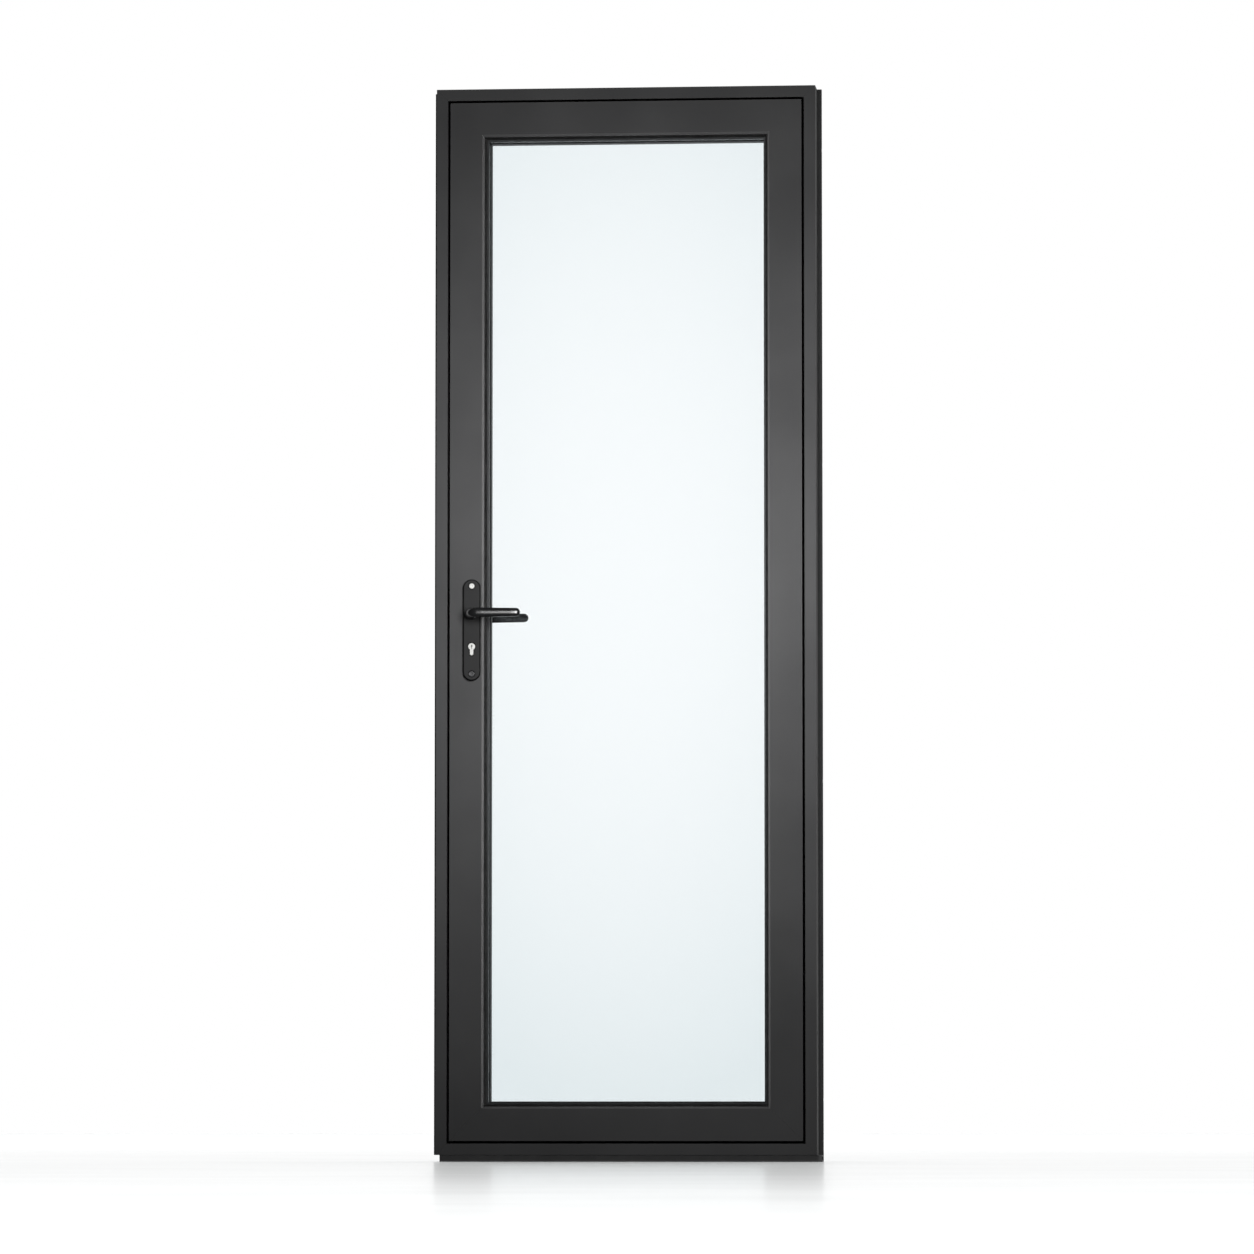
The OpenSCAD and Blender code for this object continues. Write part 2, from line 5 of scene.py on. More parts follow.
import bmesh
import bpy
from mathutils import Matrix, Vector


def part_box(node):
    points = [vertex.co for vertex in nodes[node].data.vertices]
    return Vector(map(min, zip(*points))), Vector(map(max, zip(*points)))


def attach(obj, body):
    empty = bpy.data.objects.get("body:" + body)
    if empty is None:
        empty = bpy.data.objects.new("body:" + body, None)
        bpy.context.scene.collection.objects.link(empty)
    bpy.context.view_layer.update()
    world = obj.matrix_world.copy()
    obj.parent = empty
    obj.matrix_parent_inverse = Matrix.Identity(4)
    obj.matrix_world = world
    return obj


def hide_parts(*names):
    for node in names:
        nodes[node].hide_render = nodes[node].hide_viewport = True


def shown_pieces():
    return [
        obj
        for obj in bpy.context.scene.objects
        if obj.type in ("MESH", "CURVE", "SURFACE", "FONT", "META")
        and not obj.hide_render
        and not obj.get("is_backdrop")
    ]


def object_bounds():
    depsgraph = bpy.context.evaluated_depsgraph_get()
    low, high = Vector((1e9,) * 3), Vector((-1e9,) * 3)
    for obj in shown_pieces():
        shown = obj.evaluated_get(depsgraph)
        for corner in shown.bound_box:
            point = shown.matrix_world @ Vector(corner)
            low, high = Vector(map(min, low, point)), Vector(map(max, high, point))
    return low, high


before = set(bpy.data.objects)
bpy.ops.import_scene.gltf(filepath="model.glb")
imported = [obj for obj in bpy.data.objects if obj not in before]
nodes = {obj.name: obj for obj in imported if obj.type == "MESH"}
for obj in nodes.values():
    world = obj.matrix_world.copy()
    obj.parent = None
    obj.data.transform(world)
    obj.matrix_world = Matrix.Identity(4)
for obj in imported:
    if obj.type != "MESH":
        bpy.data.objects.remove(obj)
cad_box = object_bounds()


# Outer frame: four hollow aluminium sections, mitred and joined by angle cleats, and powder
# coated in satin anthracite: a fine, slightly uneven skin that softens every edge. The sides
# that go against the wall are duller, and take the coat's darkest colour as painted shade.

COAT_DARK = (0.0170, 0.0170, 0.0173, 1)
COAT_LIGHT = (0.0205, 0.0205, 0.0208, 1)
WALL_SIDE_PAINTED_SHADE = (0.0170, 0.0170, 0.0173, 1)
COAT_GLOSS = 0.45
THIN_GLOSS = 0.85
SECTION_EDGE = 0.0005
WALL_SKIN = 0.0004


def start_finish(name):
    """A new finish, its node tree, its shader and the object's own coordinates in metres."""
    finish = bpy.data.materials.new(name)
    finish.use_nodes = True
    tree = finish.node_tree
    place = tree.nodes.new("ShaderNodeTexCoord").outputs["Object"]
    return finish, tree, tree.nodes["Principled BSDF"], place


def mottle(tree, place, scale, detail=2.0, stretch=(1, 1, 1)):
    """A noise value over the surface; stretch above 1 squeezes it along that axis."""
    shape = tree.nodes.new("ShaderNodeMapping")
    shape.inputs["Scale"].default_value = stretch
    noise = tree.nodes.new("ShaderNodeTexNoise")
    noise.inputs["Scale"].default_value = scale
    noise.inputs["Detail"].default_value = detail
    tree.links.new(place, shape.inputs["Vector"])
    tree.links.new(shape.outputs["Vector"], noise.inputs["Vector"])
    return noise.outputs["Fac"]


def tint(tree, shader, amount, first, last, low=0.35, high=0.65):
    """Colours the surface from the first shade, where amount is low, to the last, where high."""
    ramp = tree.nodes.new("ShaderNodeValToRGB")
    for stop, position, colour in zip(ramp.color_ramp.elements, (low, high), (first, last)):
        stop.position = position
        stop.color = colour
    tree.links.new(amount, ramp.inputs["Fac"])
    tree.links.new(ramp.outputs["Color"], shader.inputs["Base Color"])


def spread(tree, amount, start, end, low, high, run="LINEAR"):
    """Turns an amount that goes from start to end into a number from low to high."""
    scale = tree.nodes.new("ShaderNodeMapRange")
    scale.interpolation_type = run
    limits = {"From Min": start, "From Max": end, "To Min": low, "To Max": high}
    for socket, limit in limits.items():
        scale.inputs[socket].default_value = limit
    tree.links.new(amount, scale.inputs["Value"])
    return scale.outputs["Result"]


def vary_gloss(tree, shader, amount, low, high):
    """Lets the roughness run from low to high, over the middle part of a noise value."""
    roughness = spread(tree, amount, start=0.3, end=0.7, low=low, high=high)
    tree.links.new(roughness, shader.inputs["Roughness"])


def raise_grain(tree, shader, amount, strength, depth):
    """Gives the surface a fine relief of that depth in metres."""
    bump = tree.nodes.new("ShaderNodeBump")
    bump.inputs["Strength"].default_value = strength
    bump.inputs["Distance"].default_value = depth
    tree.links.new(amount, bump.inputs["Height"])
    tree.links.new(bump.outputs["Normal"], shader.inputs["Normal"])


def powder_coat(name, dark, light, gloss):
    """Sprayed and baked powder: a fine orange-peel skin, with faint cloudiness."""
    finish, tree, shader, place = start_finish(name)
    clouds = mottle(tree, place, scale=5.0, detail=4.0)
    sheen = mottle(tree, place, scale=60.0, detail=3.0)
    peel = mottle(tree, place, scale=1500.0)
    tint(tree, shader, clouds, dark, light)
    vary_gloss(tree, shader, sheen, gloss - 0.04, gloss + 0.04)
    raise_grain(tree, shader, peel, strength=0.12, depth=0.0001)
    shader.inputs["Specular IOR Level"].default_value = 0.35
    return finish


def dress(name, finish, edge=SECTION_EDGE):
    """Finishes one CAD piece: its material, and edges rounded over by that width."""
    piece = nodes[name]
    piece.data.materials.clear()
    piece.data.materials.append(finish)
    weld = piece.modifiers.new("weld", "WELD")
    weld.merge_threshold = 0.00001
    flats = piece.modifiers.new("flats", "DECIMATE")
    flats.decimate_type = "DISSOLVE"
    flats.angle_limit = math.radians(0.5)
    if edge:
        bevel = piece.modifiers.new("edge", "BEVEL")
        bevel.width = edge
        bevel.segments = 2
        bevel.limit_method = "ANGLE"
        bevel.angle_limit = math.radians(35)
        bevel.harden_normals = True
    return piece


def work_out(tree, operation, *values, kind="Math", gives="Value"):
    """A maths node; each value is a constant or what another node gives."""
    step = tree.nodes.new("ShaderNode" + kind)
    step.operation = operation
    for socket, value in zip(step.inputs, values):
        if isinstance(value, bpy.types.NodeSocket):
            tree.links.new(value, socket)
        else:
            socket.default_value = value
    return step.outputs[gives]


def along(tree, place, axis):
    """One coordinate of a place."""
    axes = tree.nodes.new("ShaderNodeSeparateXYZ")
    tree.links.new(place, axes.inputs["Vector"])
    return axes.outputs[axis]


def change_across(finish, axis, reach, beyond, colour, gloss):
    """Another colour and gloss where the surface lies beyond a reach on one axis, or within it."""
    tree = finish.node_tree
    shader = tree.nodes["Principled BSDF"]
    place = tree.nodes["Texture Coordinate"].outputs["Object"]
    width = work_out(tree, "ABSOLUTE", along(tree, place, axis))
    there = work_out(tree, "GREATER_THAN" if beyond else "LESS_THAN", width, reach)
    for socket, kind, other in (("Base Color", "RGBA", colour), ("Roughness", "FLOAT", gloss)):
        mix = tree.nodes.new("ShaderNodeMix")
        mix.data_type = kind
        elsewhere, changed = [s for s in mix.inputs if s.enabled and s.name in ("A", "B")]
        result = [s for s in mix.outputs if s.enabled][0]
        tree.links.new(there, mix.inputs["Factor"])
        tree.links.new(shader.inputs[socket].links[0].from_socket, elsewhere)
        changed.default_value = other
        tree.links.new(result, shader.inputs[socket])


coat = powder_coat("anthracite_powder_coat", COAT_DARK, COAT_LIGHT, COAT_GLOSS)
jamb_coat = powder_coat("anthracite_painted_shade_at_the_wall", COAT_DARK, COAT_LIGHT, COAT_GLOSS)
wall_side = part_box("frame_hinge_jamb")[1].x - WALL_SKIN
# Painted shade: the wall sides take the coat's darkest colour, with a duller gloss.
change_across(jamb_coat, "X", wall_side, beyond=True, colour=WALL_SIDE_PAINTED_SHADE, gloss=THIN_GLOSS)
for name in ("frame_head", "frame_bottom_rail"):
    dress(name, coat)
for name in ("frame_lock_jamb", "frame_hinge_jamb"):
    dress(name, jamb_coat)


# Sill base and side strips: a low box section that the frame stands on, and a narrow strip
# screwed along the outer edge of each jamb, where the door meets the wall. Both are plain
# extrusions with a flatter, duller coat than the frame.

STRIP_DARK = (0.0175, 0.0175, 0.0178, 1)
STRIP_LIGHT = (0.0215, 0.0215, 0.0218, 1)

dull_coat = powder_coat("dull_black_coat", STRIP_DARK, STRIP_LIGHT, gloss=0.78)
for name in ("sill_base", "side_strip_lock", "side_strip_hinge"):
    dress(name, dull_coat)


# Corner cleats: aluminium angle pieces sawn from a thick extrusion and pressed into the
# mitres of frame and leaf. Bare metal with the long drag lines of the die.

MILL_DARK = (0.42, 0.43, 0.44, 1)
MILL_LIGHT = (0.55, 0.56, 0.57, 1)
LINES_ALONG_Y = (12, 1, 12)


def mill_metal(name, dark, light, gloss, stretch, metal=1.0):
    """Bare metal with drawn lines along one axis."""
    finish, tree, shader, place = start_finish(name)
    shader.inputs["Metallic"].default_value = metal
    lines = mottle(tree, place, scale=40.0, detail=4.0, stretch=stretch)
    tint(tree, shader, lines, dark, light)
    vary_gloss(tree, shader, lines, gloss - 0.08, gloss + 0.08)
    raise_grain(tree, shader, lines, strength=0.15, depth=0.00005)
    return finish


cleat_metal = mill_metal("mill_aluminium", MILL_DARK, MILL_LIGHT, 0.45, LINES_ALONG_Y)
for name in ("frame_corner_cleats", "leaf_corner_cleats"):
    dress(name, cleat_metal)


# Closing seal and glazing gaskets: extruded black rubber, matt, slightly greyed along its
# length by talc from the factory. The closing seal is pressed into the frame's stop.

RUBBER_DARK = (0.0015, 0.0015, 0.0015, 1)
RUBBER_LIGHT = (0.0030, 0.0030, 0.0030, 1)


def extruded_rubber(name):
    """Matt black rubber with faint bloom and a soft skin."""
    finish, tree, shader, place = start_finish(name)
    bloom = mottle(tree, place, scale=30.0, detail=4.0)
    sheen = mottle(tree, place, scale=120.0)
    skin = mottle(tree, place, scale=900.0)
    tint(tree, shader, bloom, RUBBER_DARK, RUBBER_LIGHT)
    vary_gloss(tree, shader, sheen, 0.6, 0.8)
    raise_grain(tree, shader, skin, strength=0.15, depth=0.0001)
    return finish


rubber = extruded_rubber("black_rubber")
for name in ("frame_seal", "outer_gasket", "inner_gasket", "edge_seal"):
    dress(name, rubber, edge=0.0003)


# Leaf: four deeper hollow sections, mitred like the frame, with a bevel on the inner front
# edge and a flange at the rear that closes on the seal.

for name in ("leaf_top_rail", "leaf_bottom_rail", "leaf_lock_stile", "leaf_hinge_stile"):
    dress(name, coat)


# Glazing beads: light snap-in sections behind the glass, in a duller coat painted a shade
# darker than the leaf, as painted shade for the recess they sit in.

BEAD_DARK = (0.0135, 0.0135, 0.0138, 1)
BEAD_LIGHT = (0.0165, 0.0165, 0.0168, 1)

# Painted shade: the beads' coat is darker than the leaf's.
bead_coat_painted_shade = powder_coat("anthracite_coat_painted_shade_on_beads", BEAD_DARK, BEAD_LIGHT, gloss=0.60)
for name in ("bead_top", "bead_bottom", "bead_lock_side", "bead_hinge_side"):
    dress(name, bead_coat_painted_shade)


# Glass unit: two clear panes with a very faint blue-green cast, held apart by a folded grey
# spacer bar and sealed round the edge. Plastic blocks carry it in the leaf.

PANES = ("outer_pane", "inner_pane")
PANE_TINT_PAINTED_LIT = (0.962, 0.980, 0.987, 1)
PANE_TINT_PAINTED_SHADE = (0.864, 0.902, 0.913, 1)
PAINTED_LIGHT_REACH = 1.12
PAINTED_LIGHT_SLENDER = 1.8
PAINTED_LIGHT_LIFT = 0.15
PAINTED_LIGHT_CLOUD = 0.06
SPACER_DARK = (0.0140, 0.0144, 0.0148, 1)
SPACER_LIGHT = (0.0185, 0.0189, 0.0193, 1)
BLOCK_DARK = (0.020, 0.020, 0.021, 1)
BLOCK_LIGHT = (0.030, 0.030, 0.031, 1)


def float_glass(name, centre):
    """Clear glass, faint tint: painted light makes it clearest above the middle, darker to the
    edges.
    """
    finish, tree, shader, place = start_finish(name)
    squeeze = (PAINTED_LIGHT_SLENDER / PAINTED_LIGHT_REACH, 0, 1 / PAINTED_LIGHT_REACH)
    offset = work_out(tree, "SUBTRACT", place, centre, kind="VectorMath", gives="Vector")
    out = work_out(tree, "MULTIPLY", offset, squeeze, kind="VectorMath", gives="Vector")
    square = work_out(tree, "DOT_PRODUCT", out, out, kind="VectorMath")
    # Painted light: the tint is clearest at a pool above the middle and painted darker towards the
    # edges.
    painted_light_and_cloud = work_out(tree, "MULTIPLY_ADD", mottle(tree, place, scale=1.5), PAINTED_LIGHT_CLOUD, square)
    tint(tree, shader, painted_light_and_cloud, PANE_TINT_PAINTED_LIT, PANE_TINT_PAINTED_SHADE, low=0.03, high=1.0)
    shader.inputs["Transmission Weight"].default_value = 1.0
    shader.inputs["Roughness"].default_value = 0.0
    shader.inputs["IOR"].default_value = 1.45
    return finish


pane_low, pane_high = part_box("outer_pane")
painted_light_centre = (pane_low + pane_high) / 2 + Vector((0, 0, PAINTED_LIGHT_LIFT))
glass = float_glass("clear_glass", painted_light_centre)
for name in PANES:
    pane = dress(name, glass, edge=0)
    pane.visible_shadow = False

spacer_finish = powder_coat("grey_spacer", SPACER_DARK, SPACER_LIGHT, gloss=0.5)
dress("spacer_bar", spacer_finish, edge=0.0003)
block_finish = powder_coat("moulded_black_plastic", BLOCK_DARK, BLOCK_LIGHT, gloss=0.55)
dress("setting_blocks", block_finish)


# Lock, strike, bolts and screws: turned and stamped steel with a plain bright finish, the
# drawn lines running up the edge of the door.

STEEL_DARK = (0.33, 0.33, 0.34, 1)
STEEL_LIGHT = (0.48, 0.48, 0.49, 1)
LINES_ALONG_Z = (25, 25, 1)

steel = mill_metal("plain_steel", STEEL_DARK, STEEL_LIGHT, 0.36, LINES_ALONG_Z)
for name in ("strike_plate", "lock_case", "lock_faceplate", "latch_bolt", "dead_bolt"):
    dress(name, steel, edge=0.0003)
for name in ("strike_screws", "faceplate_screws", "cylinder_screw", "side_strip_screws"):
    dress(name, steel, edge=0.0001)
for name in ("lever_spindle", "lock_hub", "cylinder_cam", "lever_grub_screws"):
    dress(name, steel, edge=0.0002)


# Key cylinder: a brass body and two plugs, turned and milled. The noses that show in the
# plates are polished and plated in pale satin nickel. The body between them is painted
# near-black as painted shade, a dark ring round each nose.

NICKEL_DARK = (0.74, 0.74, 0.72, 1)
NICKEL_LIGHT = (0.86, 0.86, 0.84, 1)
NICKEL_GLOSS = 0.38
NICKEL_METAL = 0.45
TURNED_LINES = (6, 1, 6)
BODY_PAINTED_SHADE = (0.012, 0.010, 0.007, 1)
NOSE_START = 0.0003


def nickel_plate(name):
    """Pale plating over turned brass."""
    return mill_metal(name, NICKEL_DARK, NICKEL_LIGHT, NICKEL_GLOSS, TURNED_LINES, NICKEL_METAL)


nickel = nickel_plate("satin_nickel")
nickel_with_painted_shade = nickel_plate("nickel_noses_painted_shade_body")
nose_from = -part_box("leaf_lock_stile")[0].y + NOSE_START
# Painted shade: the body behind the noses is near-black, a dark ring round each nose.
change_across(nickel_with_painted_shade, "Y", nose_from, beyond=False, colour=BODY_PAINTED_SHADE, gloss=0.6)
dress("cylinder_body", nickel_with_painted_shade, edge=0.0004)
for name in ("key_plug_front", "key_plug_rear"):
    dress(name, nickel, edge=0.0002)


# Lever plates: cast zinc backplates, lacquered satin black. The bevelled rim behind the face is
# painted near-black as painted shade, a dark outline round each plate. Two machine screws clamp
# the plates through the leaf: the upper one bright, the lower one dark.

PLATE_DARK = (0.0078, 0.0078, 0.0079, 1)
PLATE_LIGHT = (0.0102, 0.0102, 0.0103, 1)
PLATE_RIM_PAINTED_SHADE = (0.0018, 0.0018, 0.0018, 1)
PAINTED_SHADE_BELOW_FACE = 0.0003
DARKENED_LOW = (0.035, 0.035, 0.036, 1)
DARKENED_HIGH = (0.060, 0.060, 0.062, 1)

plate_face = -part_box("front_plate")[0].y
plate_finish = powder_coat("satin_black_lacquer", PLATE_DARK, PLATE_LIGHT, gloss=0.45)
painted_shade_from = plate_face - PAINTED_SHADE_BELOW_FACE
# Painted shade: the rim behind the face is near-black, a dark outline round the plate.
change_across(plate_finish, "Y", painted_shade_from, beyond=False, colour=PLATE_RIM_PAINTED_SHADE, gloss=0.5)
for name in ("front_plate", "rear_plate"):
    dress(name, plate_finish, edge=0.0004)
dress("plate_screw_top", nickel, edge=0.0002)
dark_steel = mill_metal("darkened_steel", DARKENED_LOW, DARKENED_HIGH, 0.4, TURNED_LINES, 0.5)
dress("plate_screw_bottom", dark_steel, edge=0.0002)


# Levers: cast zinc, one at the front and one at the rear on a shared spindle. A round neck
# turns through a soft elbow into a tapering flat-sided grip with a rounded end, and the whole
# is polished and lacquered gloss black.

LEVER_DARK = (0.0010, 0.0010, 0.0011, 1)
LEVER_LIGHT = (0.0018, 0.0018, 0.0019, 1)
NECK = 0.0095
NECK_START = 0.002
BEND = 0.015
GRIP_HIGH, GRIP_DEEP = 0.0097, 0.0065
TIP_HIGH, TIP_DEEP = 0.0085, 0.0058
TIP_CLOSES = 0.97
ROUND = 2.0
FLATTENED = 2.1
AROUND = 40
BEND_STEPS = 10
GRIP_STEPS = 8
TIP_STEPS = 8

lever_low, lever_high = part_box("front_lever")
collar_radius = (lever_high.z - lever_low.z) / 2
lever_axis = Vector((lever_low.x + collar_radius, 0, (lever_low.z + lever_high.z) / 2))
lever_tip = lever_high.x - lever_axis.x
grip_depth = -lever_low.y


def between(first, last, part):
    """The value at that part of the way from first to last."""
    return first + (last - first) * part


def lever_outline():
    """Stations along the lever, from the plate to the tip.

    Each is the centre's x and y, the direction's angle, half the height, half the depth, and
    how square the section is.
    """
    middle = grip_depth - GRIP_DEEP
    stations = [
        (0.0, plate_face + NECK_START, 0.0, NECK, NECK, ROUND),
        (0.0, middle - BEND, 0.0, NECK, NECK, ROUND),
    ]
    for i in range(1, BEND_STEPS + 1):
        part = i / BEND_STEPS
        turn = part * math.pi / 2
        x = BEND * (1 - math.cos(turn))
        y = middle - BEND + BEND * math.sin(turn)
        high = between(NECK, GRIP_HIGH, part)
        deep = between(NECK, GRIP_DEEP, math.sin(turn))
        stations.append((x, y, turn, high, deep, between(ROUND, FLATTENED, part)))
    grip_end = lever_tip - TIP_HIGH
    for i in range(1, GRIP_STEPS + 1):
        part = i / GRIP_STEPS
        x = between(BEND, grip_end, part)
        high = between(GRIP_HIGH, TIP_HIGH, part)
        deep = between(GRIP_DEEP, TIP_DEEP, part)
        stations.append((x, middle, math.pi / 2, high, deep, FLATTENED))
    for i in range(1, TIP_STEPS + 1):
        turn = i / TIP_STEPS * math.pi / 2 * TIP_CLOSES
        x = grip_end + TIP_HIGH * math.sin(turn)
        high = TIP_HIGH * math.cos(turn)
        deep = TIP_DEEP * math.cos(turn)
        stations.append((x, middle, math.pi / 2, high, deep, FLATTENED))
    return stations


def collar_outline():
    """Stations along the collar that turns against the plate, in the same terms."""
    chamfer = 0.0005
    steps = (
        (0.0001, collar_radius - chamfer),
        (0.0001 + chamfer, collar_radius),
        (0.0082, collar_radius),
        (0.0088, collar_radius - 0.0004),
        (0.0106, 0.0100),
        (0.0112, 0.0096),
    )
    return [(0.0, plate_face + out, 0.0, radius, radius, ROUND) for out, radius in steps]


def ring_of_points(mesh, station, side):
    """One cross-section of the lever; side is -1 at the front of the door and 1 at the rear."""
    x, y, turn, high, deep, square = station
    points = []
    for i in range(AROUND):
        angle = 2 * math.pi * i / AROUND
        c, s = math.cos(angle), math.sin(angle)
        across = math.copysign(abs(c) ** (2 / square), c) * deep
        up = math.copysign(abs(s) ** (2 / square), s) * high
        px = lever_axis.x + x + across * math.cos(turn)
        py = side * (y - across * math.sin(turn))
        points.append(mesh.verts.new((px, py, lever_axis.z + up)))
    return points


def skin_over(mesh, stations, side):
    """Closes the surface over cross-sections, and caps both ends."""
    rings = [ring_of_points(mesh, station, side) for station in stations]
    for first, second in zip(rings, rings[1:]):
        for i in range(AROUND):
            j = (i + 1) % AROUND
            mesh.faces.new((first[i], first[j], second[j], second[i]))
    mesh.faces.new(list(reversed(rings[0])))
    mesh.faces.new(rings[-1])


def cast_lever(name, side):
    """The lever with its collar, as one casting."""
    mesh = bmesh.new()
    skin_over(mesh, lever_outline(), side)
    skin_over(mesh, collar_outline(), side)
    bmesh.ops.recalc_face_normals(mesh, faces=mesh.faces)
    data = bpy.data.meshes.new(name)
    mesh.to_mesh(data)
    mesh.free()
    for face in data.polygons:
        face.use_smooth = True
    lever = bpy.data.objects.new(name, data)
    bpy.context.scene.collection.objects.link(lever)
    return lever


def gloss_lacquer(name):
    """Deep black lacquer over a polished casting, with faint swirls from wiping."""
    finish, tree, shader, place = start_finish(name)
    depth = mottle(tree, place, scale=25.0, detail=3.0)
    swirls = mottle(tree, place, scale=90.0, detail=4.0)
    skin = mottle(tree, place, scale=700.0)
    tint(tree, shader, depth, LEVER_DARK, LEVER_LIGHT)
    vary_gloss(tree, shader, swirls, 0.20, 0.26)
    raise_grain(tree, shader, skin, strength=0.02, depth=0.00005)
    shader.inputs["Coat Weight"].default_value = 0.3
    shader.inputs["Coat Roughness"].default_value = 0.12
    return finish


lever_black = gloss_lacquer("gloss_black_lacquer")
for name, node, side in (
    ("front_lever_casting", "front_lever", -1),
    ("rear_lever_casting", "rear_lever", 1),
):
    lever = cast_lever(name, side)
    lever.data.materials.append(lever_black)
    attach(lever, "levers")
    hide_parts(node)


# Hinges: three barrel hinges on the rear face. Each has a fixed part on the frame, a moving
# part on the leaf and a steel pin with turned caps, all coated with the door. Their screws are
# darkened steel.

for level in ("top", "mid", "low"):
    for part in ("frame_part", "leaf_part", "pin"):
        dress(f"hinge_{level}_{part}", coat, edge=0.0004)
for name in ("hinge_frame_screws", "hinge_leaf_screws"):
    dress(name, dark_steel, edge=0.0001)


# Floor: a pale studio floor that runs out of sight. Its wax mirrors the door only at a low
# glance, and wears off further away, where the floor also dims a little towards the tone of
# the cove. It throws no light or reflection back on the door.

FLOOR_PALE = (0.86, 0.87, 0.87, 1)
FLOOR_WHITE = (0.90, 0.91, 0.91, 1)
FLOOR_REACH = 60.0
FLOOR_SHINE = 0.57
GRAZING_ONLY = 8.0
SHINE_FROM = 2.0
SHINE_TO = 9.5
FAR_FROM = 11.0
FAR_TO = 26.0
FAR_TONE = 0.95


def one_or_other(tree, amount, first, second):
    """The first shader where amount is 0, the second where it is 1, a blend between."""
    blend = tree.nodes.new("ShaderNodeMixShader")
    for socket, value in zip(blend.inputs, (amount, first, second)):
        tree.links.new(value, socket)
    return blend.outputs["Shader"]


bpy.ops.mesh.primitive_plane_add(size=FLOOR_REACH)
floor = bpy.context.object
floor.name = "studio_floor"
floor_finish, tree, shader, place = start_finish("pale_floor")
tint(tree, shader, mottle(tree, place, scale=2.0), FLOOR_PALE, FLOOR_WHITE)
near_tone = shader.inputs["Base Color"].links[0].from_socket
outward = work_out(tree, "LENGTH", place, kind="VectorMath")
dimming = spread(tree, outward, FAR_FROM, FAR_TO, 1.0, FAR_TONE, "SMOOTHSTEP")
tone = work_out(tree, "MULTIPLY", near_tone, dimming, kind="VectorMath", gives="Vector")
tree.links.new(tone, shader.inputs["Base Color"])
shader.inputs["Roughness"].default_value = 0.9
shader.inputs["Specular IOR Level"].default_value = 0.0
mirror = tree.nodes.new("ShaderNodeBsdfGlossy")
mirror.inputs["Roughness"].default_value = 0.14
away = work_out(tree, "ABSOLUTE", along(tree, place, "Y"))
wax = spread(tree, away, SHINE_TO, SHINE_FROM, 0.0, FLOOR_SHINE, "SMOOTHSTEP")
slant = tree.nodes.new("ShaderNodeLayerWeight").outputs["Facing"]
polish = work_out(tree, "MULTIPLY", wax, work_out(tree, "POWER", slant, GRAZING_ONLY))
waxed = one_or_other(tree, polish, shader.outputs["BSDF"], mirror.outputs["BSDF"])
tree.links.new(waxed, tree.nodes["Material Output"].inputs["Surface"])
floor.data.materials.append(floor_finish)
floor.visible_diffuse = False
floor.visible_glossy = False
floor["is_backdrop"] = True


# Cove: a white studio cove behind the door that fades to a dim room on the viewer's side. It
# looks plain white, whichever way it is seen; what it lights and what mirrors it gets the fade.

ROOM_DIM = (0.030, 0.031, 0.032, 1)
COVE_WHITE = (1, 1, 1, 1)
COVE_GLOW = 1.15
FADE_FROM = 0.52
FADE_TO = 0.70

world = bpy.data.worlds.new("white_cove")
bpy.context.scene.world = world
world.use_nodes = True
tree = world.node_tree
seen = tree.nodes["Background"]
lit = tree.nodes.new("ShaderNodeBackground")
seen_through_glass = tree.nodes.new("ShaderNodeBackground")
for light, strength in ((seen, 1.0), (lit, COVE_GLOW), (seen_through_glass, COVE_GLOW)):
    light.inputs["Color"].default_value = COVE_WHITE
    light.inputs["Strength"].default_value = strength
towards = tree.nodes.new("ShaderNodeTexCoord").outputs["Generated"]
fade = tree.nodes.new("ShaderNodeValToRGB")
fade.color_ramp.interpolation = "EASE"
fade.color_ramp.elements[0].position = FADE_FROM
fade.color_ramp.elements[0].color = ROOM_DIM
fade.color_ramp.elements[1].position = FADE_TO
fade.color_ramp.elements[1].color = COVE_WHITE
rearward = spread(tree, along(tree, towards, "Y"), -1.0, 1.0, 0.0, 1.0)
tree.links.new(rearward, fade.inputs["Fac"])
tree.links.new(fade.outputs["Color"], lit.inputs["Color"])
ray = tree.nodes.new("ShaderNodeLightPath").outputs
turns = work_out(tree, "ADD", ray["Diffuse Depth"], ray["Glossy Depth"])
straight = work_out(tree, "LESS_THAN", turns, 0.5)
looking_through = work_out(tree, "MULTIPLY", ray["Is Transmission Ray"], straight)
around = one_or_other(tree, looking_through, lit.outputs[0], seen_through_glass.outputs[0])
cove = one_or_other(tree, ray["Is Camera Ray"], around, seen.outputs[0])
tree.links.new(cove, tree.nodes["World Output"].inputs["Surface"])


# Lamps: washes at the front and the rear, tall lamps that skim the edges and strips, a low one
# for the base and a soft panel for the levers. Each lights only its own pieces, and the panes
# take none, so they mirror only the cove. An overhead light keeps the floor white.

PLATED = ("cylinder_body", "key_plug_front", "key_plug_rear", "plate_screw_top")
PLATES = ("front_plate", "rear_plate")
LEVERS = ("front_lever_casting", "rear_lever_casting")
STRIPS = ("side_strip_lock", "side_strip_hinge")


def lit_together(name, pieces):
    """The pieces that one lamp lights."""
    group = bpy.data.collections.new(name)
    for piece in pieces:
        group.objects.link(piece)
    return group


def all_but(names):
    """Every piece of the door but the panes and those named."""
    return [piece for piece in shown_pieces() if piece.name not in PANES + names]


def only(names):
    """The pieces of those names."""
    return [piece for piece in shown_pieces() if piece.name in names]


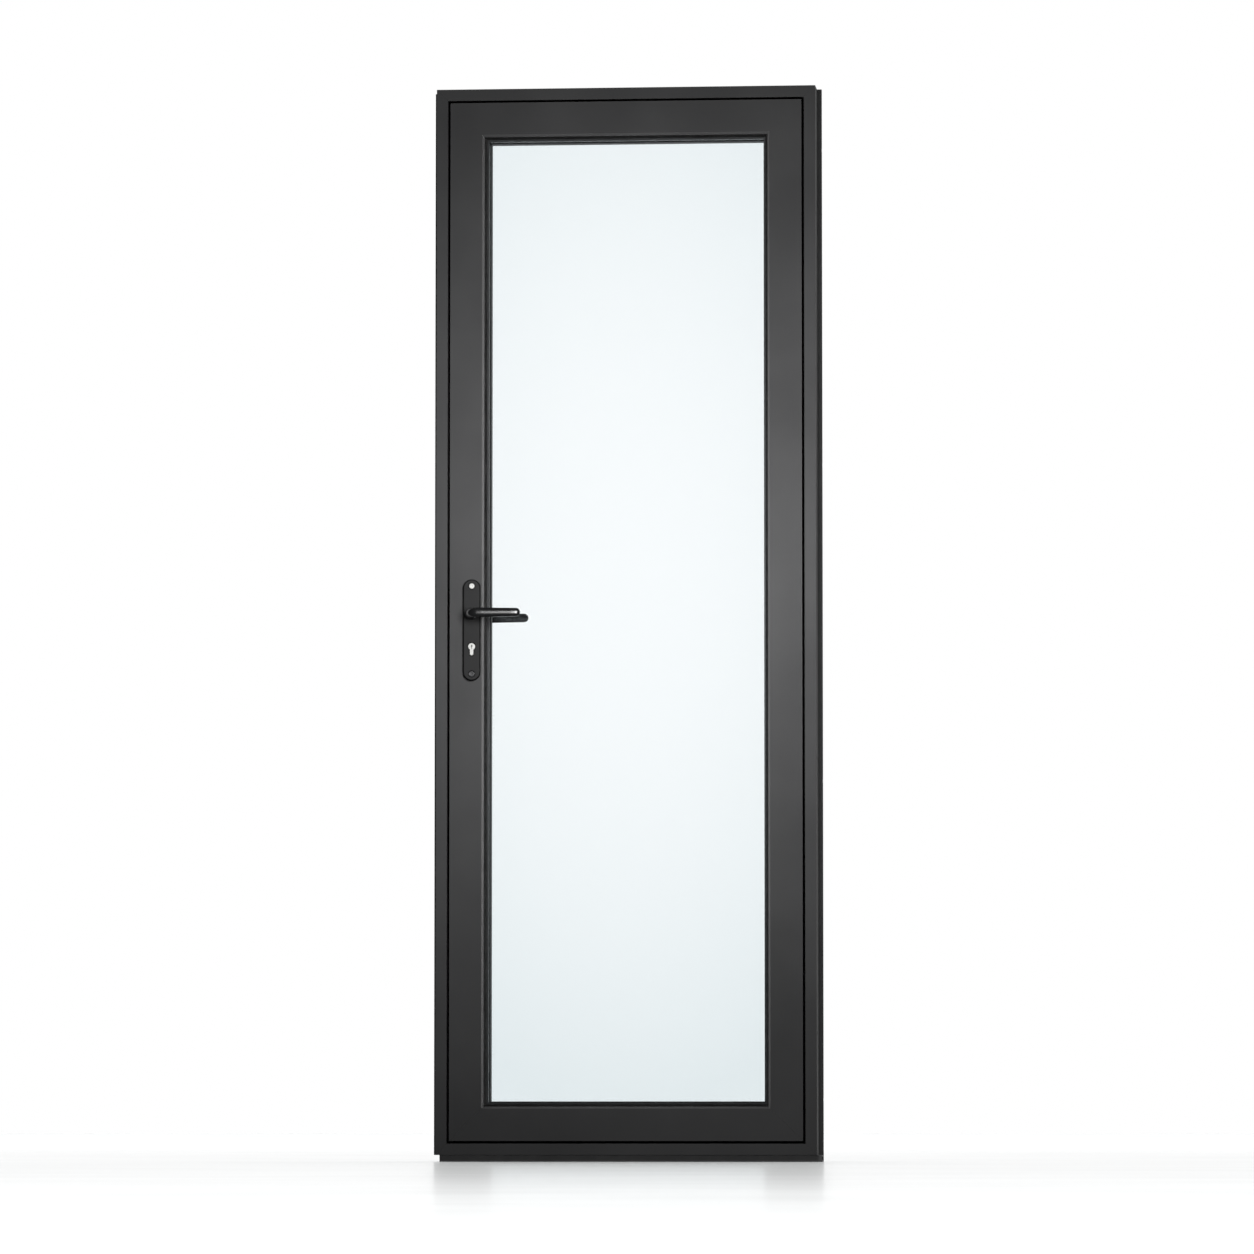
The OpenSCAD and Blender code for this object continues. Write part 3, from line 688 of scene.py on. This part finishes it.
def soft_lamp(name, lights, place, aim, size, power, in_gloss):
    """An oval lamp that lights only those pieces; in_gloss also lets it shine in their gloss."""
    lamp = bpy.data.lights.new(name, "AREA")
    lamp.shape = "ELLIPSE"
    lamp.size, lamp.size_y = size
    lamp.energy = power
    holder = bpy.data.objects.new(name, lamp)
    holder.location = place
    holder.rotation_euler = (Vector(aim) - Vector(place)).to_track_quat("-Z", "Y").to_euler()
    holder.visible_camera = False
    holder.visible_transmission = False
    holder.visible_glossy = in_gloss
    holder.light_linking.receiver_collection = lights
    bpy.context.scene.collection.objects.link(holder)


all_but_panes = lit_together("all_but_panes", all_but(()))
all_but_plated = lit_together("all_but_plated", all_but(PLATED))
plated = lit_together("plated_pieces", only(PLATED))
sections = lit_together("sections", all_but(PLATED + PLATES + LEVERS))
strips = lit_together("strips", only(STRIPS))
base = lit_together("base", only(("sill_base",)))
front_lever = lit_together("front_lever", only(("front_lever_casting",)))
rear_lever = lit_together("rear_lever", only(("rear_lever_casting",)))
floor_only = lit_together("floor_only", [floor])

WASH_PLACE = (0.10, -1.05, 1.20)
WASH_AIM = (0.10, 0, 1.20)
WASH_SIZE = (0.5, 0.5)
EDGE_AIM = (0, 0, 1.2)
TALL = (0.5, 2.2)
PANEL_PLACE = (0.10, -2.0, 1.15)
PANEL_AIM = (-0.25, 0, 1.07)
PANEL_SIZE = (0.9, 1.5)

for lamp in (
    # name, what it lights, place, aim, size, power in watts, whether it shows in gloss
    ("front_wash", all_but_plated, WASH_PLACE, WASH_AIM, WASH_SIZE, 70, False),
    ("front_wash_on_plating", plated, WASH_PLACE, WASH_AIM, WASH_SIZE, 27, False),
    ("right_edge", sections, (3.0, -0.2, 1.2), EDGE_AIM, TALL, 60, True),
    ("left_edge", sections, (-3.0, -0.2, 1.2), EDGE_AIM, TALL, 36, True),
    ("on_strips", strips, (1.5, -1.7, 1.1), (0.2, 0, 1.1), TALL, 36, True),
    ("on_base", base, (0.2, -2.2, 0.12), (0, 0, 0.01), (2.0, 0.2), 28, True),
    ("on_front_lever", front_lever, PANEL_PLACE, PANEL_AIM, PANEL_SIZE, 84, True),
    ("on_rear_lever", rear_lever, PANEL_PLACE, PANEL_AIM, PANEL_SIZE, 36, True),
    ("rear_wash", all_but_panes, (-1.2, 2.6, 1.6), (0, 0, 1.0), (1.4, 1.6), 70, False),
):
    soft_lamp(*lamp)

overhead = bpy.data.lights.new("overhead_light", "SUN")
overhead.energy = 2.36
overhead.angle = math.radians(80)
sky = bpy.data.objects.new("overhead_light", overhead)
sky.rotation_euler = (math.radians(4), 0, 0)
sky.light_linking.receiver_collection = floor_only
bpy.context.scene.collection.objects.link(sky)


# Camera: a long lens, well back, slightly to the right of the door and close to the floor. It
# frames a square of VIEW_WIDTH at the front of the frame.

VIEW_DISTANCE = 14.0
VIEW_AZIMUTH = math.radians(5.0)
VIEW_HEIGHT = 0.08
VIEW_WIDTH = 2.4452
AIM_RIGHT = 0.0028
AIM_DOWN = 0.0100
SENSOR_WIDTH = 36

low, high = cad_box
front = min(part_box("frame_head")[0].y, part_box("frame_bottom_rail")[0].y)
aim = Vector((AIM_RIGHT, front, (low[2] + high[2]) / 2 - AIM_DOWN))
lens = bpy.data.cameras.new("camera")
camera = bpy.data.objects.new("camera", lens)
camera.location = (
    aim.x + VIEW_DISTANCE * math.sin(VIEW_AZIMUTH),
    aim.y - VIEW_DISTANCE * math.cos(VIEW_AZIMUTH),
    VIEW_HEIGHT,
)
view = aim - camera.location
camera.rotation_euler = view.to_track_quat("-Z", "Y").to_euler()
lens.sensor_width = SENSOR_WIDTH
lens.lens = SENSOR_WIDTH * view.length / VIEW_WIDTH
lens.clip_end = 200
bpy.context.scene.collection.objects.link(camera)
bpy.context.scene.camera = camera
bpy.context.scene.view_settings.view_transform = "Standard"
